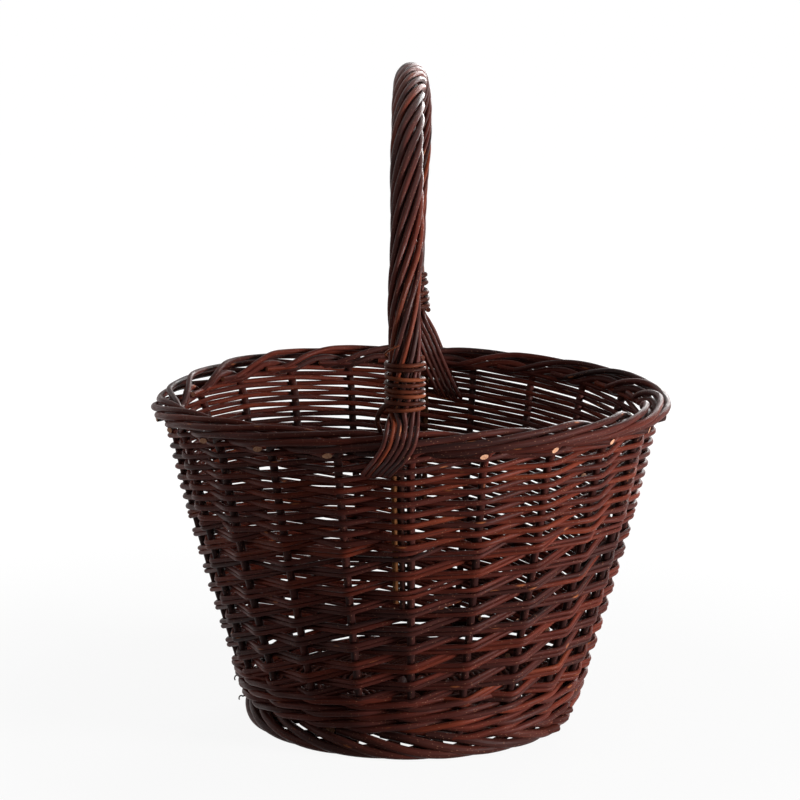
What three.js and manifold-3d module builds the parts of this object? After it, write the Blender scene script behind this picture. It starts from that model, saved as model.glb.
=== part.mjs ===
// A round stake-and-strand willow basket with one fixed, rope-twisted bow handle.
// Millimetres, +Z up, origin on the floor at the basket's axis. The handle's legs stand at -Y and +Y.
import * as THREE from 'three';
import { mergeVertices } from 'three/addons/utils/BufferGeometryUtils.js';
import Module from 'manifold-3d';

const wasm = await Module();
wasm.setup();

// Overall sizes
const rimRadius = 200;            // to the outermost rod of the border
const rimHeight = 258;            // floor to the top of the border
const handleTop = 506;            // floor to the top of the handle
const footRadius = 124;           // axis to the middle of the stakes, where they stand on the foot
const wallTopRadius = 183;        // the same, just under the border
const wallBulge = 3.2;            // how far the middle of the wall stands out of a straight cone

// Rods
const stakeDiameter = 6.2;
const stakeTipDiameter = 4.9;     // where a stake, tapered along the border, is cut off
const courseThickness = 3.7;      // one fine weaver, or a pair of them one above the other
const upsettDiameter = 5;         // the three turns of stouter weaver that set the wall upright
const footRodDiameter = 6;
const baseStickDiameter = 8;
const baseWeaverThickness = 3.4;
const bowDiameter = 12.5;         // the handle's core
const bowTailDiameter = 5.2;      // the core where it is pared down and pushed beside a stake
const ropeRodDiameter = 4.6;
const skeinDiameter = 2.5;        // the split rod that binds each neck of the handle

// Counts
const stakeCount = 22;            // even, so that alternate courses close
const sidingTurns = 11;           // turns of each of the two chasing weavers
const upsettTurns = 3;
const footTwists = stakeCount / 2;
const sticksPerWay = 3;           // base sticks in each of the two crossing groups
const ropeRodCount = 10;
const ropeTwistSteps = 32;        // the rope's whole twist, in spaces between neighbouring rods
const bindingTurns = 8;

// Clearances
const gap = 0.35;                 // air between neighbouring solids
const weaveGap = 0.7;             // from a stake to the weaver that bends round it
const floorCut = 0.5;             // how much of the foot is cut flat

// Lengths and places
const baseWeaveStart = 46;        // radius where the crossed sticks have spread into spokes
const bowTailDepth = 110;         // how far the pared tail reaches below the border
const bowTaperLength = 28;
const neckRise = 14;              // from the border's top to the lowest turn of the binding
const bindingPitch = 4.5;
const fanLean = 38 * Math.PI / 180;
const fanKinkShift = 4;           // how far the rods have gone aside where they kink on the border
const fanEndDrop = 12;            // from the bottom of the border to the ends of the rope rods

// Border: each stake in turn bends down, passes behind one stake and in front of two,
// then over the top and down behind the next. Columns are stakes travelled, and the offset
// outwards and upwards, in stake diameters, from the middle of the border's foot.
const borderPath = [
  [0.04, 0.00, 0.30],
  [0.30, 0.00, 1.41],
  [0.65, -0.95, 1.01],
  [1.00, -1.46, 0.15],
  [1.40, 0.03, 0.15],
  [1.80, 1.15, 0.45],
  [2.40, 1.44, 1.12],
  [3.00, 1.00, 1.94],
  [3.35, 0.03, 2.54],
  [3.75, -1.21, 1.93],
  [4.20, -1.81, 0.82],
  [4.60, -0.46, -0.56],
];
const borderOut = Math.max(...borderPath.map((point) => point[1])) + 0.5;
const borderIn = 0.5 - Math.min(...borderPath.map((point) => point[1]));
const borderUp = Math.max(...borderPath.map((point) => point[2])) + 0.5;
const borderDown = 0.5 - Math.min(...borderPath.map((point) => point[2]));
const tailStep = 0.18;            // stakes from a stake back to the handle's tail beside it

// Heights and radii that follow from the sizes above
const borderRadius = rimRadius - borderOut * stakeDiameter;
const borderHeight = rimHeight - borderUp * stakeDiameter;
const wallTop = borderHeight - borderDown * stakeDiameter;
const footOrbit = (footRodDiameter + gap) / 2 / Math.cos(Math.PI / 6);
const footFlat = footRodDiameter / 2 * Math.cos(Math.PI / 6);
const footAxis = footOrbit + footFlat - floorCut;
const footCrest = footAxis + footOrbit + footFlat;
const leanDip = stakeDiameter / 6;    // how far the lower edge of a leaning stake's end dips
const stakeStart = footCrest + gap + leanDip;
const stickFlat = baseStickDiameter / 2 * Math.cos(Math.PI / 6);
const baseHeight = footCrest + gap + stickFlat;
const upsettStart = baseHeight + stickFlat + gap + upsettDiameter / 2;
const upsettPitch = upsettDiameter + gap;
const upsettEnd = upsettStart + upsettTurns * upsettPitch;
const coursePitch = (wallTop - upsettEnd - upsettDiameter / 2 - gap) / (2 * sidingTurns + 1);
const courseHeight = coursePitch - gap;
const sidingStart = upsettEnd + upsettDiameter / 2 + gap + courseHeight / 2;
const stakeAngle = 2 * Math.PI / stakeCount;
const firstStake = -Math.PI / 2 + tailStep * stakeAngle;
const bowTailEnd = borderHeight - bowTailDepth;

// Materials
const material = (color, roughness) => new THREE.MeshStandardMaterial({ color, roughness, metalness: 0 });
const barkRed = material(0x5f2f28, 0.6);
const barkBrown = material(0x4d2a26, 0.65);
const barkPurple = material(0x55353a, 0.55);
const barkTwist = material(0x6b3a33, 0.5);
const skeinTan = material(0x8d4f2e, 0.55);

const basket = new THREE.Group();
const addPiece = (name, geometry, finish) => {
  const mesh = new THREE.Mesh(geometry, finish);
  mesh.name = name;
  basket.add(mesh);
};

// Geometry helpers

// A closed body through rings of points, with flat ends unless it closes on itself.
function loft(rings, closed = false) {
  const sides = rings[0].length;
  const faces = [];
  const spans = closed ? rings.length : rings.length - 1;
  for (let i = 0; i < spans; i++) {
    const a = i * sides;
    const b = ((i + 1) % rings.length) * sides;
    for (let j = 0; j < sides; j++) {
      const k = (j + 1) % sides;
      faces.push(a + j, a + k, b + k, a + j, b + k, b + j);
    }
  }
  if (!closed) {
    const end = (rings.length - 1) * sides;
    for (let j = 1; j < sides - 1; j++) {
      faces.push(0, j + 1, j, end, end + j, end + j + 1);
    }
  }
  return outwardSolid(rings.flat(), faces);
}

// The faces turned so that they all point outwards.
function outwardSolid(points, faces) {
  let volume = 0;
  for (let i = 0; i < faces.length; i += 3) {
    const [a, b, c] = [points[faces[i]], points[faces[i + 1]], points[faces[i + 2]]];
    volume += a.dot(new THREE.Vector3().crossVectors(b, c));
  }
  const geometry = new THREE.BufferGeometry();
  geometry.setAttribute('position', new THREE.Float32BufferAttribute(points.flatMap((p) => p.toArray()), 3));
  geometry.setIndex(volume > 0 ? faces : faces.toReversed());
  geometry.computeVertexNormals();
  return geometry;
}

// A round rod along a line of points; its radius follows a function of the share travelled.
function rod(points, radiusAt, sides, closed = false) {
  const count = points.length;
  const at = (i) => points[closed ? (i + count) % count : Math.min(Math.max(i, 0), count - 1)];
  const tangents = points.map((_, i) => at(i + 1).clone().sub(at(i - 1)).normalize());
  let side = new THREE.Vector3(0, 0, 1).cross(tangents[0]);
  if (side.length() < 0.1) side = new THREE.Vector3(1, 0, 0);
  const rings = points.map((centre, i) => {
    side = side.clone().addScaledVector(tangents[i], -side.dot(tangents[i])).normalize();
    const other = new THREE.Vector3().crossVectors(tangents[i], side);
    const radius = radiusAt(i / (count - 1));
    return Array.from({ length: sides }, (_, j) => {
      const turn = 2 * Math.PI * j / sides;
      return centre.clone()
        .addScaledVector(side, radius * Math.cos(turn))
        .addScaledVector(other, radius * Math.sin(turn));
    });
  });
  return loft(rings, closed);
}

const polar = (angle, radius, z) => new THREE.Vector3(radius * Math.cos(angle), radius * Math.sin(angle), z);

function toSolid(geometry) {
  const bare = geometry.clone();
  bare.deleteAttribute('normal');
  bare.deleteAttribute('uv');
  const merged = mergeVertices(bare);
  return new wasm.Manifold(new wasm.Mesh({
    numProp: 3,
    vertProperties: merged.attributes.position.array,
    triVerts: Uint32Array.from(merged.index.array),
  }));
}

function fromSolid(solid) {
  const mesh = solid.getMesh();
  const geometry = new THREE.BufferGeometry();
  const positions = Float32Array.from(mesh.vertProperties);
  geometry.setAttribute('position', new THREE.Float32BufferAttribute(positions, 3));
  geometry.setIndex(Array.from(mesh.triVerts));
  geometry.computeVertexNormals();
  return geometry;
}

// Wall: where its middle runs, and which way it faces

function wallRadius(z) {
  const share = (z - stakeStart) / (wallTop - stakeStart);
  const cone = footRadius + (wallTopRadius - footRadius) * share;
  return cone + wallBulge * 4 * share * (1 - share);
}

// A point beside the wall's middle, moved outwards across the wall and upwards along it.
function besideWall(angle, z, outwards, upwards) {
  const slope = new THREE.Vector2(wallRadius(z + 1) - wallRadius(z - 1), 2).normalize();
  const radius = wallRadius(z) + outwards * slope.y + upwards * slope.x;
  return polar(angle, radius, z - outwards * slope.x + upwards * slope.y);
}

// Stakes: each runs up the wall and on into the border

function stakePoints(index) {
  const angle = firstStake + index * stakeAngle;
  const wallSteps = 5;
  const wall = Array.from({ length: wallSteps + 1 }, (_, i) => {
    const z = stakeStart + (wallTop - stakeStart) * i / wallSteps;
    return polar(angle, wallRadius(z), z);
  });
  const border = borderPath.map(([along, out, up]) => polar(
    angle + along * stakeAngle,
    borderRadius + out * stakeDiameter,
    borderHeight + up * stakeDiameter,
  ));
  return [...wall, ...border];
}

for (let i = 0; i < stakeCount; i++) {
  const taper = (share) => {
    const bent = Math.max(0, share - 1 / 3) * 1.5;
    return THREE.MathUtils.lerp(stakeDiameter, stakeTipDiameter, bent) / 2;
  };
  addPiece(`stake_${String(i + 1).padStart(2, '0')}`, rod(stakePoints(i), taper, 5), barkPurple);
}

// Posts that a weaver passes: the stakes, and the handle's two tails beside stake 0 and its opposite
const posts = [];
for (let i = 0; i < stakeCount; i++) {
  const turn = i / stakeCount;
  if (i % (stakeCount / 2) === 0) posts.push({ turn: turn - tailStep / stakeCount, stake: i });
  posts.push({ turn, stake: i });
}

// One weaver climbing the wall: side(post, pass) is +1 in front of a post and -1 behind it.
function weaver({ stops, first, turns, start, pitch, width, height, corners, side }) {
  const offset = stakeDiameter / 2 + weaveGap + width / 2;
  const rings = [];
  for (let pass = 0; pass <= turns * stops.length; pass++) {
    const lap = Math.floor((first + pass) / stops.length);
    const stop = stops[(first + pass) % stops.length];
    const turn = lap + stop.turn;
    const z = start + pitch * (turn - stops[first].turn);
    const out = offset * side(stop, pass);
    rings.push(corners.map(([x, y]) => besideWall(
      firstStake + 2 * Math.PI * turn, z, out + x * width / 2, y * height / 2,
    )));
  }
  return loft(rings);
}

const squareCorners = [[-1, -1], [1, -1], [1, 1], [-1, 1]];
const roundCorners = Array.from({ length: 6 }, (_, i) => {
  const turn = Math.PI / 6 + Math.PI * i / 3;
  return [Math.cos(turn), Math.sin(turn)];
});

['a', 'b'].forEach((letter, strand) => {
  addPiece(`siding_weaver_${letter}`, weaver({
    stops: posts,
    first: strand * posts.length / 2,
    turns: sidingTurns,
    start: sidingStart,
    pitch: 2 * coursePitch,
    width: courseThickness,
    height: courseHeight,
    corners: squareCorners,
    side: (stop) => ((stop.stake + strand) % 2 === 0 ? 1 : -1),
  }), barkRed);
});

// Upsett: in front of two stakes and behind the third
addPiece('upsett_weaver', weaver({
  stops: posts.filter((post) => Number.isInteger(Math.round(post.turn * stakeCount * 100) / 100)),
  first: 0,
  turns: upsettTurns,
  start: upsettStart,
  pitch: upsettPitch,
  width: upsettDiameter,
  height: upsettDiameter,
  corners: roundCorners,
  side: (stop, pass) => (pass % 3 === 2 ? -1 : 1),
}), barkBrown);

// Foot: two stout rods twisted into a ring, cut flat where the basket stands
const floorSlab = toSolid(new THREE.BoxGeometry(3 * footRadius, 3 * footRadius, footRadius)
  .translate(0, 0, -footRadius / 2));
['a', 'b'].forEach((letter, strand) => {
  const steps = footTwists * 6;
  const rings = Array.from({ length: steps }, (_, i) => {
    const turn = i / steps;
    const twist = 2 * Math.PI * (turn * footTwists) + Math.PI * strand;
    return Array.from({ length: 6 }, (__, corner) => polar(
      firstStake + 2 * Math.PI * turn,
      footRadius + footOrbit * Math.sin(twist) + footRodDiameter / 2 * Math.cos(corner * Math.PI / 3),
      footAxis + footOrbit * Math.cos(twist) + footRodDiameter / 2 * Math.sin(corner * Math.PI / 3),
    ));
  });
  addPiece(`foot_rod_${letter}`, fromSolid(toSolid(loft(rings, true)).subtract(floorSlab)), barkBrown);
});

// Base: two crossing groups of sticks that spread into spokes, and two weavers round them
const spokeCount = 4 * sticksPerWay;
const spokeAngle = 2 * Math.PI / spokeCount;
const baseTurn = firstStake + Math.PI / 2;    // brings one stick's ends behind two opposite stakes
const spokeEnd = footRadius - stakeDiameter / 2 - gap;
const stickSpacing = baseStickDiameter + gap;
const crossHalf = stickSpacing * (sticksPerWay - 1) / 2 + stickSpacing;

['lower', 'upper'].forEach((level, group) => {
  for (let i = 0; i < sticksPerWay; i++) {
    const order = i - (sticksPerWay - 1) / 2;
    const lift = (group === 0 ? -1 : 1) * stickSpacing / 2;
    const half = [
      [crossHalf, order * stickSpacing, lift],
      [baseWeaveStart * Math.cos(order * spokeAngle), baseWeaveStart * Math.sin(order * spokeAngle), 0],
      [spokeEnd * Math.cos(order * spokeAngle), spokeEnd * Math.sin(order * spokeAngle), 0],
    ];
    const line = [...half.map(([x, y, z]) => [-x, y, z]).reverse(), ...half];
    const points = line.map(([x, y, z]) => new THREE.Vector3(x, y, baseHeight + z)
      .applyAxisAngle(new THREE.Vector3(0, 0, 1), baseTurn + group * Math.PI / 2));
    addPiece(`base_stick_${level}_${i + 1}`, rod(points, () => baseStickDiameter / 2, 6), barkBrown);
  }
});

const baseRowWidth = 6.4;
const baseRowPitch = (baseRowWidth + gap) / Math.cos(spokeAngle / 2);
const baseRowStart = baseWeaveStart + baseRowWidth / 2;
const baseRows = (spokeEnd - stakeDiameter - baseRowWidth / 2 - baseRowStart) / baseRowPitch;
['a', 'b'].forEach((letter, strand) => {
  const offset = baseStickDiameter / 2 + weaveGap + baseWeaverThickness / 2;
  const rings = [];
  for (let pass = 0; pass <= Math.floor(baseRows / 2 * spokeCount); pass++) {
    const spoke = pass + strand * spokeCount / 2;
    const middle = baseRowStart + 2 * baseRowPitch * pass / spokeCount;
    const height = baseHeight + offset * ((spoke + strand) % 2 === 0 ? 1 : -1);
    rings.push(squareCorners.map(([x, y]) => polar(
      baseTurn + spoke * spokeAngle, middle + x * baseRowWidth / 2, height + y * baseWeaverThickness / 2,
    )));
  }
  addPiece(`base_weaver_${letter}`, loft(rings), barkRed);
});

// Handle: the bow's line runs up the front leg, over and down the back leg, in the YZ plane
const stepsOverBow = 26;
const ropeTurn = 2 * Math.PI / ropeRodCount;
const stepTwist = ropeTwistSteps * ropeTurn / stepsOverBow;
const ropeOrbit = (bowDiameter / 2 + gap + ropeRodDiameter / 2) / Math.cos(stepTwist / 2);
const neckHeight = rimHeight + neckRise;
const archRadius = borderRadius;
const legLength = bindingTurns * bindingPitch;
const springHeight = neckHeight + legLength;
const archRise = handleTop - ropeOrbit - ropeRodDiameter / 2 - springHeight;
const archLength = Math.PI * (archRadius + archRise) / 2;
const bowLength = 2 * legLength + archLength;

// The point of the bow's line at a length from the front neck, and the direction away from its inside.
function bowFrame(length) {
  const across = new THREE.Vector3(1, 0, 0);
  const upFront = Math.min(length, legLength);
  const downBack = Math.max(length - legLength - archLength, 0);
  const turn = Math.PI * THREE.MathUtils.clamp((length - legLength) / archLength, 0, 1);
  const centre = new THREE.Vector3(0, -archRadius * Math.cos(turn), archRise * Math.sin(turn));
  const out = new THREE.Vector3(0, -archRise * Math.cos(turn), archRadius * Math.sin(turn)).normalize();
  centre.z += springHeight - (legLength - upFront) - downBack;
  return { centre, out, across };
}

function bowPoints() {
  const lengths = Array.from({ length: stepsOverBow + 1 }, (_, i) => bowLength * i / stepsOverBow);
  const over = lengths.map((length) => bowFrame(length).centre);
  const paredTop = neckHeight - 2;
  const tail = (sign) => [bowTailEnd, wallTop].map((z) => new THREE.Vector3(0, sign * wallRadius(z), z))
    .concat([borderHeight, rimHeight + gap, paredTop]
      .map((z) => new THREE.Vector3(0, sign * archRadius, z)));
  return { points: [...tail(-1), ...over.slice(2, -2), ...tail(1).reverse()], paredTop };
}

const bowLine = bowPoints();
const paredRadius = (z) => {
  const share = THREE.MathUtils.clamp((z - bowLine.paredTop) / bowTaperLength, 0, 1);
  return THREE.MathUtils.lerp(bowTailDiameter, bowDiameter, share) / 2;
};
const bowRadii = bowLine.points.map((point) => paredRadius(point.z));
addPiece('handle_bow', rod(
  bowLine.points, (share) => bowRadii[Math.round(share * (bowRadii.length - 1))], 8,
), barkBrown);

// Rope rods: each leaves the neck, spreads over one face of the border and ends below it
const fanSpacing = (ropeRodDiameter + gap) / Math.cos(fanLean);
const outsideWall = stakeDiameter / 2 + weaveGap + courseThickness + gap + ropeRodDiameter / 2;

// Points down from the neck at the front leg; face is +1 outside the basket and -1 inside it.
function fanPoints(order, face) {
  const besideBorder = face > 0
    ? rimRadius + gap + ropeRodDiameter / 2
    : borderRadius - borderIn * stakeDiameter - gap - ropeRodDiameter / 2;
  const kink = borderHeight + stakeDiameter / 2;
  const fanEnd = wallTop - fanEndDrop;
  const endShift = fanKinkShift + (kink - fanEnd) * Math.tan(fanLean);
  const levels = [
    { z: rimHeight, radius: besideBorder, shift: fanKinkShift / 2 },
    { z: kink, radius: besideBorder, shift: fanKinkShift },
    { z: fanEnd, radius: wallRadius(fanEnd) + face * outsideWall, shift: endShift },
  ];
  return levels.map(({ z, radius, shift }) => {
    const along = order * fanSpacing - shift;
    return polar(-Math.PI / 2 + along / borderRadius, radius, z);
  });
}

const halfTurn = (point) => new THREE.Vector3(-point.x, -point.y, point.z);
for (let i = 0; i < ropeRodCount; i++) {
  const start = (i + (ropeTwistSteps % 2) / 2) * ropeTurn;
  const twistAt = (share) => start + ropeTwistSteps * ropeTurn * (share - 0.5);
  const over = Array.from({ length: stepsOverBow + 1 }, (_, step) => {
    const { centre, out, across } = bowFrame(bowLength * step / stepsOverBow);
    const twist = twistAt(step / stepsOverBow);
    return centre.clone()
      .addScaledVector(out, ropeOrbit * Math.cos(twist))
      .addScaledVector(across, ropeOrbit * Math.sin(twist));
  });
  const fan = (twist) => {
    const slot = ((Math.round(twist / ropeTurn) % ropeRodCount) + ropeRodCount) % ropeRodCount;
    const fromFront = slot > ropeRodCount / 2 ? slot - ropeRodCount : slot;
    const outside = Math.abs(fromFront) <= ropeRodCount / 4;
    const order = outside ? fromFront : Math.sign(fromFront) * ropeRodCount / 2 - fromFront;
    return fanPoints(order, outside ? 1 : -1);
  };
  const front = fan(twistAt(0)).reverse();
  const back = fan(-twistAt(1)).map(halfTurn);
  const points = [...front, ...over, ...back];
  const ropeRod = rod(points, () => ropeRodDiameter / 2, 5);
  addPiece(`rope_rod_${String(i + 1).padStart(2, '0')}`, ropeRod, barkTwist);
}

// Bindings: a split rod wound round each neck
const bindingSteps = 12;
const ropeRadius = ropeOrbit + ropeRodDiameter / 2;
const bindingOrbit = (ropeRadius + gap + skeinDiameter / 2) / Math.cos(Math.PI / bindingSteps);
[['front', -1], ['back', 1]].forEach(([name, sign]) => {
  const points = Array.from({ length: bindingTurns * bindingSteps + 1 }, (_, i) => {
    const turn = 2 * Math.PI * i / bindingSteps;
    return new THREE.Vector3(
      bindingOrbit * Math.cos(turn),
      sign * (archRadius + bindingOrbit * Math.sin(turn)),
      neckHeight + bindingPitch * i / bindingSteps,
    );
  });
  const nextTurn = points.slice(bindingSteps);
  const least = Math.min(...nextTurn.map((point, i) => point.distanceTo(points[i]))) - skeinDiameter;
  console.log(`handle_binding_${name}: least gap between turns ${least.toFixed(2)} mm`);
  addPiece(`handle_binding_${name}`, rod(points, () => skeinDiameter / 2, 4), skeinTan);
});

export default basket;
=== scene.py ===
"""A round willow basket with a plaited border and a rope-twisted handle, dressed over its CAD frame."""

import math
import random
from functools import partial

import bpy
from mathutils import Matrix, Vector


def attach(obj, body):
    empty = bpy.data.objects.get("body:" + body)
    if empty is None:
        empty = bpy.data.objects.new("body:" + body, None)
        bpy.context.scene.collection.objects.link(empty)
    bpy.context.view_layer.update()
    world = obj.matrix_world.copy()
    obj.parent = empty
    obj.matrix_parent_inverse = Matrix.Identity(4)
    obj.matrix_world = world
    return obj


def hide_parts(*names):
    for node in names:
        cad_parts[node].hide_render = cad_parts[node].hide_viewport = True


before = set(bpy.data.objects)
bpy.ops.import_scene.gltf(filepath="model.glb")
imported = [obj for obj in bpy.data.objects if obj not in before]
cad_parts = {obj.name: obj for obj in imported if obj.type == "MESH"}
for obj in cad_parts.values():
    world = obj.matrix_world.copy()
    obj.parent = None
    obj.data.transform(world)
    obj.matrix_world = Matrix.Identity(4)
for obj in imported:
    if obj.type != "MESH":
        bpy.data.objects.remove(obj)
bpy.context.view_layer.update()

MM = 0.001

# Sizes of the basket, in millimetres as in its CAD source
HANDLE_TOP = 506
FOOT_RADIUS = 124
WALL_TOP_RADIUS = 183
WALL_BULGE = 3.2
WALL_START = 13.4
WALL_TOP = 232.6
BORDER_RADIUS = 188
BORDER_HEIGHT = 239.15
BORDER_UNIT = 6.2
STAKES = 22
STAKE_STEP = 2 * math.pi / STAKES
STAKE_DIAMETER = 5.8
TAIL_STEP = 0.18
FIRST_STAKE = -math.pi / 2 + TAIL_STEP * STAKE_STEP

# The handle's two legs, by the sign of their Y
FRONT = -1
BACK = 1

# How the rim strays from level, and the heights at which that starts, is full, fades and is gone
RIM_RISE = 2.8        # up at both legs of the handle
RIM_TILT = 2.0        # up at the back leg and down at the front one
RIM_TWIST = 2.8       # up at the back's left and down at its right
RIM_DROP = 4.5        # down at the left end
LIFT_STARTS = 110
LIFT_FULL = 230
LIFT_FADES = 265
LIFT_GONE = 285


# Small tools for lines

def polar(angle, radius, z):
    return Vector((radius * math.cos(angle), radius * math.sin(angle), z))


def mix(a, b, share):
    return a + (b - a) * share


def ease(value, low=0.0, high=1.0):
    """0 below the low value, 1 above the high one, and a smooth climb between them."""
    share = min(max((value - low) / (high - low), 0.0), 1.0)
    return share * share * (3 - 2 * share)


def steady(value):
    """The same value from one end of a rod to the other."""
    return lambda share: value


def tapered(butt, tip):
    """A value that changes evenly from the rod's first end to its last."""
    return lambda share: mix(butt, tip, share)


def rim_lift(point):
    """How far the weave is lifted there: not at the foot, in full at the rim and not up the handle."""
    reach = max(math.hypot(point.x, point.y), 1)
    back, right = point.y / reach, point.x / reach
    lift = RIM_RISE * abs(back) + RIM_TILT * back - RIM_TWIST * 2 * right * max(back, 0)
    lift -= RIM_DROP * max(-right, 0) ** 2 * (1 - abs(back))
    lift *= ease(point.z, LIFT_STARTS, LIFT_FULL) * (1 - ease(point.z, LIFT_FADES, LIFT_GONE))
    return Vector((0, 0, lift))


def flowing(points, step=5.0):
    """Closely spaced points on a smooth line through the given ones."""
    ends = [points[0] * 2 - points[1]] + list(points) + [points[-1] * 2 - points[-2]]
    line = []
    for a, b, c, d in zip(ends, ends[1:], ends[2:], ends[3:]):
        ta = 0.0
        tb = ta + max((b - a).length, 0.01) ** 0.5
        tc = tb + max((c - b).length, 0.01) ** 0.5
        td = tc + max((d - c).length, 0.01) ** 0.5
        count = max(1, round((c - b).length / step))
        for i in range(count):
            t = mix(tb, tc, i / count)
            ab = mix(a, b, (t - ta) / (tb - ta))
            bc = mix(b, c, (t - tb) / (tc - tb))
            cd = mix(c, d, (t - tc) / (td - tc))
            abc = mix(ab, bc, (t - ta) / (tc - ta))
            bcd = mix(bc, cd, (t - tb) / (td - tb))
            line.append(mix(abc, bcd, (t - tb) / (tc - tb)))
    line.append(points[-1].copy())
    return line


def straight(start, end, step):
    """Evenly spaced points after the start, up to the end."""
    count = max(1, round((end - start).length / step))
    return [mix(start, end, i / count) for i in range(1, count + 1)]


def bent_at_corners(corners, bend, step=9.0):
    """Straight runs between the corners, each corner rounded over the length of the bend."""
    line = [corners[0].copy()]
    for before, corner, after in zip(corners, corners[1:], corners[2:]):
        start = corner + (before - corner).normalized() * min(bend, (before - corner).length * 0.45)
        end = corner + (after - corner).normalized() * min(bend, (after - corner).length * 0.45)
        line += straight(line[-1], start, step)
        for t in (0.25, 0.5, 0.75, 1.0):
            line.append(start * (1 - t) ** 2 + corner * 2 * t * (1 - t) + end * t * t)
    return line + straight(line[-1], corners[-1], step)


def wall_radius(z):
    share = (z - WALL_START) / (WALL_TOP - WALL_START)
    return mix(FOOT_RADIUS, WALL_TOP_RADIUS, share) + WALL_BULGE * 4 * share * (1 - share)


def beside_wall(turn, z, outwards, upwards=0.0):
    """A point beside the wall's middle. The turn counts stakes from the first."""
    slope = (wall_radius(z + 1) - wall_radius(z - 1)) / 2
    scale = 1 / math.hypot(slope, 1)
    radius = wall_radius(z) + (outwards + upwards * slope) * scale
    return polar(FIRST_STAKE + turn * STAKE_STEP, radius, z + (upwards - outwards * slope) * scale)


# Nodes that more than one tree uses

def feed(tree, socket, value):
    """Gives a node's socket a plain value or another node's outcome."""
    if isinstance(value, bpy.types.NodeSocket):
        tree.links.new(value, socket)
    else:
        socket.default_value = value


def reckon(tree, operation, first, second):
    """The outcome of an operation on two values, each of them plain or another node's outcome."""
    node = tree.nodes.new("ShaderNodeMath")
    node.operation = operation
    feed(tree, node.inputs[0], first)
    feed(tree, node.inputs[1], second)
    return node.outputs["Value"]


def spread(tree, value, low, high, to_low, to_high):
    """The value, which goes from low to high, drawn out to the other two."""
    node = tree.nodes.new("ShaderNodeMapRange")
    given = {"Value": value, "From Min": low, "From Max": high, "To Min": to_low, "To Max": to_high}
    for label, entry in given.items():
        feed(tree, node.inputs[label], entry)
    return node.outputs["Result"]


def chart_colour(tree, chart, share):
    """The colour that a share from 0 to 1 picks from the chart."""
    ramp = tree.nodes.new("ShaderNodeValToRGB")
    stops = ramp.color_ramp.elements
    while len(stops) < len(chart):
        stops.new(0.5)
    for stop, (place, shade) in zip(stops, chart):
        stop.position = place
        stop.color = shade
    tree.links.new(share, ramp.inputs["Fac"])
    return ramp.outputs["Color"]


def roughen(tree, height, strength, distance):
    """Gives the tree's shader a bumpy surface."""
    bump = tree.nodes.new("ShaderNodeBump")
    bump.inputs["Strength"].default_value = strength
    bump.inputs["Distance"].default_value = distance
    tree.links.new(height, bump.inputs["Height"])
    tree.links.new(bump.outputs["Normal"], tree.nodes["Principled BSDF"].inputs["Normal"])


# One willow rod, and the lines that carry a bundle of them

def willow_rod(points, thick, tone, cuts=(None, None)):
    """A rod along the points. thick(share) is its diameter there, tone(share) its place in the bark colours,
    and cuts the direction in which each end's face is drawn out by the knife."""
    return {"points": [p + rim_lift(p) for p in points], "thick": thick, "tone": tone, "cuts": cuts}


def line_mesh(name, rods, chance):
    """The rods' middle lines as a mesh, with each point's thickness, tone and length along the rod."""
    spots, edges, thick, tone, along, cut = [], [], [], [], [], []
    for rod in rods:
        first = len(spots)
        run = chance.uniform(0, 9)
        last = len(rod["points"]) - 1
        ends = {0: rod["cuts"][0], last: rod["cuts"][1]}
        for i, point in enumerate(rod["points"]):
            if i:
                run += (point - rod["points"][i - 1]).length * MM
                edges.append((first + i - 1, first + i))
            spots.append(point * MM)
            thick.append(rod["thick"](i / last) / 2 * MM)
            tone.append(rod["tone"](i / last))
            along.append(run)
            cut.extend(ends.get(i) or (0, 0, 0))
    mesh = bpy.data.meshes.new(name + "_lines")
    mesh.from_pydata(spots, edges, [])
    for label, values in (("thickness", thick), ("tone", tone), ("along", along)):
        mesh.attributes.new(label, "FLOAT", "POINT").data.foreach_set("value", values)
    mesh.attributes.new("cut", "FLOAT_VECTOR", "POINT").data.foreach_set("vector", cut)
    return mesh


# The tree that makes round rods of the lines

def named(tree, label, kind="FLOAT_VECTOR"):
    """What the geometry carries under the label."""
    node = tree.nodes.new("GeometryNodeInputNamedAttribute")
    node.data_type = kind
    node.inputs["Name"].default_value = label
    return node.outputs["Attribute"]


def store(tree, geometry, label, value):
    """The geometry, which now carries the value under the label."""
    node = tree.nodes.new("GeometryNodeStoreNamedAttribute")
    node.data_type = "FLOAT_VECTOR"
    node.domain = "POINT"
    node.inputs["Name"].default_value = label
    tree.links.new(geometry, node.inputs["Geometry"])
    tree.links.new(value, node.inputs["Value"])
    return node.outputs["Geometry"]


def vector(tree, operation, first, second):
    node = tree.nodes.new("ShaderNodeVectorMath")
    node.operation = operation
    tree.links.new(first, node.inputs[0])
    tree.links.new(second, node.inputs["Scale"] if operation == "SCALE" else node.inputs[1])
    return node.outputs["Value" if operation == "DOT_PRODUCT" else "Vector"]


def through(tree, kind, geometry, others):
    """The geometry after a node of the kind, whose other sockets get the values named for them."""
    node = tree.nodes.new(kind)
    tree.links.new(geometry, node.inputs["Geometry"])
    for label, value in others.items():
        feed(tree, node.inputs[label], value)
    return node.outputs["Geometry"]


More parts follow.
